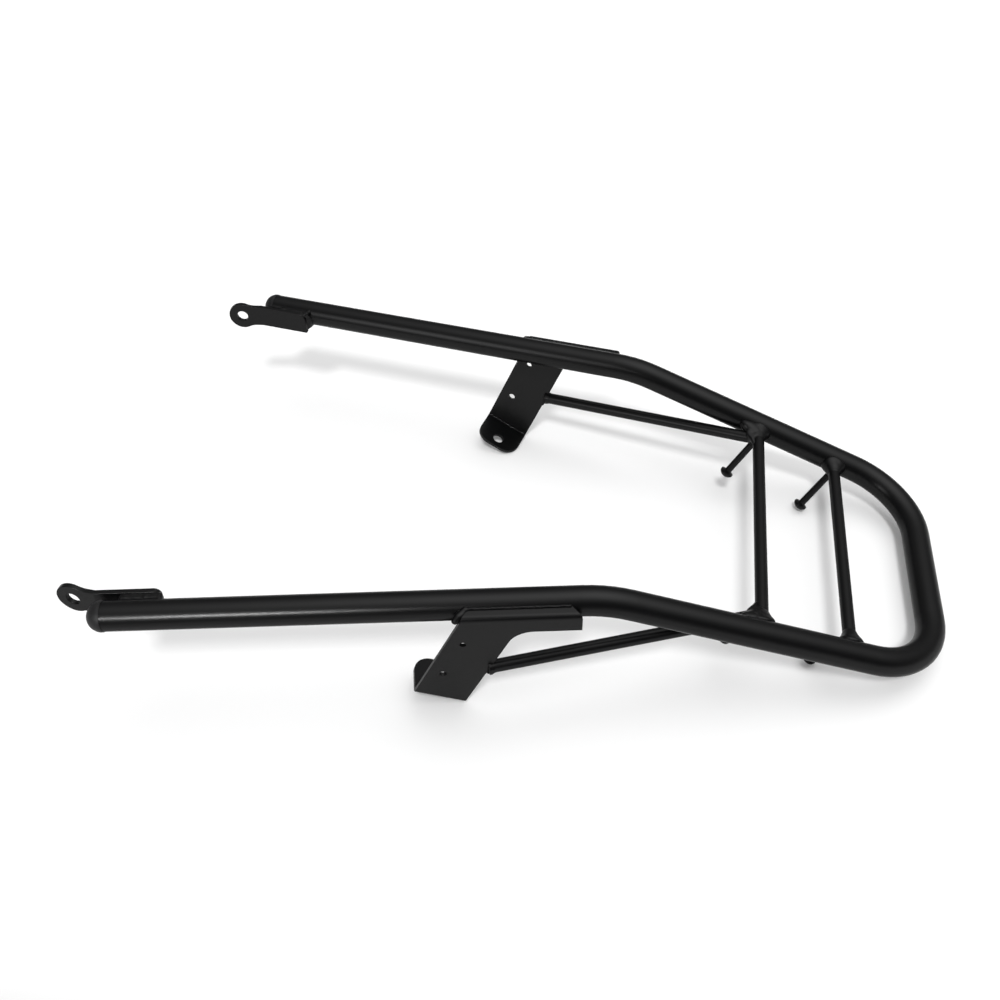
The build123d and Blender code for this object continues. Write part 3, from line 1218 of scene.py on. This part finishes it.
@dataclass
class Studio:
    """White paper, a room that is dark behind the camera, a key light, two strip lamps and the camera."""

    paper: PaleFloor
    floor_reach: float = 30.0
    floor_gap_mm: float = 0.3
    overhead: float = 2.7
    overhead_falloff: float = 5.0
    overhead_from: tuple[float, float, float] = (0.25, 0.08, 0.965)
    backdrop: float = 0.25
    backdrop_edge: float = 0.7
    dark_side: float = 0.03
    dark_edge: float = -0.5
    key_strength: float = 1.65
    key_spread_deg: float = 9.0
    key_from: tuple[float, float, float] = (0.08, -0.85, 1.25)
    strips: tuple[StripLamp, ...] = (
        StripLamp("near_strip", 0.21, (0.3, 0.1), 18.0, (-0.36, -1.53, 0.8), (-0.26, -0.2, 0.1)),
        StripLamp("far_strip", 0.46, (0.7, 0.9), 44.0, (-0.82, -0.97, 0.74), (-0.04, 0.17, 0.1)),
    )
    lens_mm: float = 39.451
    sensor_mm: float = 36.0
    stand_mm: tuple[float, float, float] = (-88.143, -663.206, 614.541)
    turn: float = 0.185396
    tip: float = 0.741612
    roll: float = 0.039086

    def floor(self) -> bpy.types.Object:
        """Lay the paper.

        Returns:
            The floor.
        """
        reach, low = self.floor_reach, -self.floor_gap_mm * MM
        mesh = bpy.data.meshes.new("paper_floor")
        mesh.from_pydata(
            [(-reach, -reach, low), (reach, -reach, low), (reach, reach, low), (-reach, reach, low)],
            [], [(0, 1, 2, 3)],
        )
        piece = bpy.data.objects.new("paper_floor", mesh)
        bpy.context.collection.objects.link(piece)
        dress(piece, self.paper.material())
        return piece

    def room(self) -> None:
        """Light the room softly, most from overhead and least from behind the camera."""
        world = bpy.data.worlds.new("soft_room")
        bpy.context.scene.world = world
        world.use_nodes = True
        tree = world.node_tree
        heading = add_node(tree, "ShaderNodeTexCoord").outputs["Generated"]
        parts = add_node(tree, "ShaderNodeSeparateXYZ", {"Vector": heading}).outputs
        horizon = add_node(
            tree, "ShaderNodeMapRange",
            {
                "Value": parts["Y"],
                "From Min": self.dark_edge,
                "From Max": self.backdrop_edge,
                "To Min": self.dark_side,
                "To Max": self.backdrop,
            },
            interpolation_type="SMOOTHSTEP",
        ).outputs["Result"]
        towards = add_node(
            tree, "ShaderNodeVectorMath",
            {0: heading, 1: self.overhead_from},
            operation="DOT_PRODUCT",
        ).outputs["Value"]
        above = add_node(tree, "ShaderNodeMath", {0: towards, 1: 0.0}, operation="MAXIMUM").outputs[0]
        share = add_node(
            tree, "ShaderNodeMath",
            {0: above, 1: self.overhead_falloff},
            operation="POWER",
        ).outputs[0]
        level = add_node(
            tree, "ShaderNodeMapRange",
            {"Value": share, "To Min": horizon, "To Max": self.overhead},
        ).outputs["Result"]
        tree.links.new(level, tree.nodes["Background"].inputs["Strength"])
        tree.nodes["Background"].inputs["Color"].default_value = WHITE

    def hang(self, light: bpy.types.Light, place: Vector, aim: Vector) -> bpy.types.Object:
        """Hang a light and turn it to what it lights.

        Args:
            light: The light.
            place: Where it hangs.
            aim: The point that it shines at.

        Returns:
            The light's object.
        """
        piece = bpy.data.objects.new(light.name, light)
        bpy.context.collection.objects.link(piece)
        piece.location = place
        piece.rotation_euler = (aim - place).to_track_quat("-Z", "Y").to_euler()
        return piece

    def lamps(self) -> None:
        """Hang the key, which gives the shadows, and the strips, which give the rails their highlights."""
        key = bpy.data.lights.new("key_light", "SUN")
        key.energy = self.key_strength
        key.angle = radians(self.key_spread_deg)
        self.hang(key, Vector(self.key_from), Vector()).visible_glossy = False
        for strip in self.strips:
            box = bpy.data.lights.new(strip.name, "AREA")
            box.shape = "RECTANGLE"
            box.size, box.size_y = strip.size
            box.spread = radians(strip.spread_deg)
            box.energy = strip.power
            self.hang(box, Vector(strip.place), Vector(strip.aim)).visible_diffuse = False

    def camera(self, lines: RackLines) -> bpy.types.Object:
        """Set the camera where the photograph was taken from.

        Args:
            lines: The rack's centre lines.

        Returns:
            The camera.
        """
        ahead = Vector((-sin(self.turn) * cos(self.tip), cos(self.turn) * cos(self.tip), -sin(self.tip)))
        level = Vector((cos(self.turn), sin(self.turn), 0.0))
        down = ahead.cross(level)
        right = level * cos(self.roll) + down * sin(self.roll)
        true_down = down * cos(self.roll) - level * sin(self.roll)
        lens = bpy.data.cameras.new("photo_camera")
        lens.sensor_fit = "HORIZONTAL"
        lens.sensor_width = self.sensor_mm
        lens.lens = self.lens_mm
        piece = bpy.data.objects.new("photo_camera", lens)
        bpy.context.collection.objects.link(piece)
        pose = Matrix((right, -true_down, -ahead)).transposed().to_4x4()
        bar = lines.rear_rail(lines.front_bar_reach)
        middle = lines.placed(Vector((bar.x, 0.0, bar.z)), Side.RIGHT)
        pose.translation = middle + Vector(self.stand_mm) * MM
        piece.matrix_world = pose
        bpy.context.scene.camera = piece
        return piece

    def build(self, lines: RackLines) -> None:
        """Set up the floor, the light and the camera.

        Args:
            lines: The rack's centre lines.
        """
        self.floor()
        self.room()
        self.lamps()
        self.camera(lines)
        bpy.context.scene.view_settings.view_transform = "Standard"


def main() -> None:
    """Build the rack's looks and the studio round it."""
    logging.basicConfig(level=logging.INFO, format="%(name)s: %(message)s")
    coat = PowderCoat().material()
    cap_plastic = MouldedCap().material()
    lines = RackLines.on_crossbar(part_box("crossbar_front"))
    tree = WeldTree()
    pieces = TubeFrame({Slot.COAT: coat, Slot.CAP: cap_plastic}).build()
    pieces += CoatedPlates(coat).build()
    bracket_welds = BracketWelds(lines, tree, coat)
    joints = CrossbarWelds(lines, tree, coat)
    brace_end = lines.inside_rail(lines.front_bar_reach, joints.brace_wall_gap)
    pieces += bracket_welds.build(brace_end)
    pieces += joints.build(bracket_welds.brace_start)
    pieces += TabWelds(lines, tree, coat).build()
    for piece in pieces:
        LOG.info("%s: %d faces", piece.name, len(piece.data.polygons))
    Studio(PaleFloor()).build(lines)


if __name__ == "__main__":
    main()
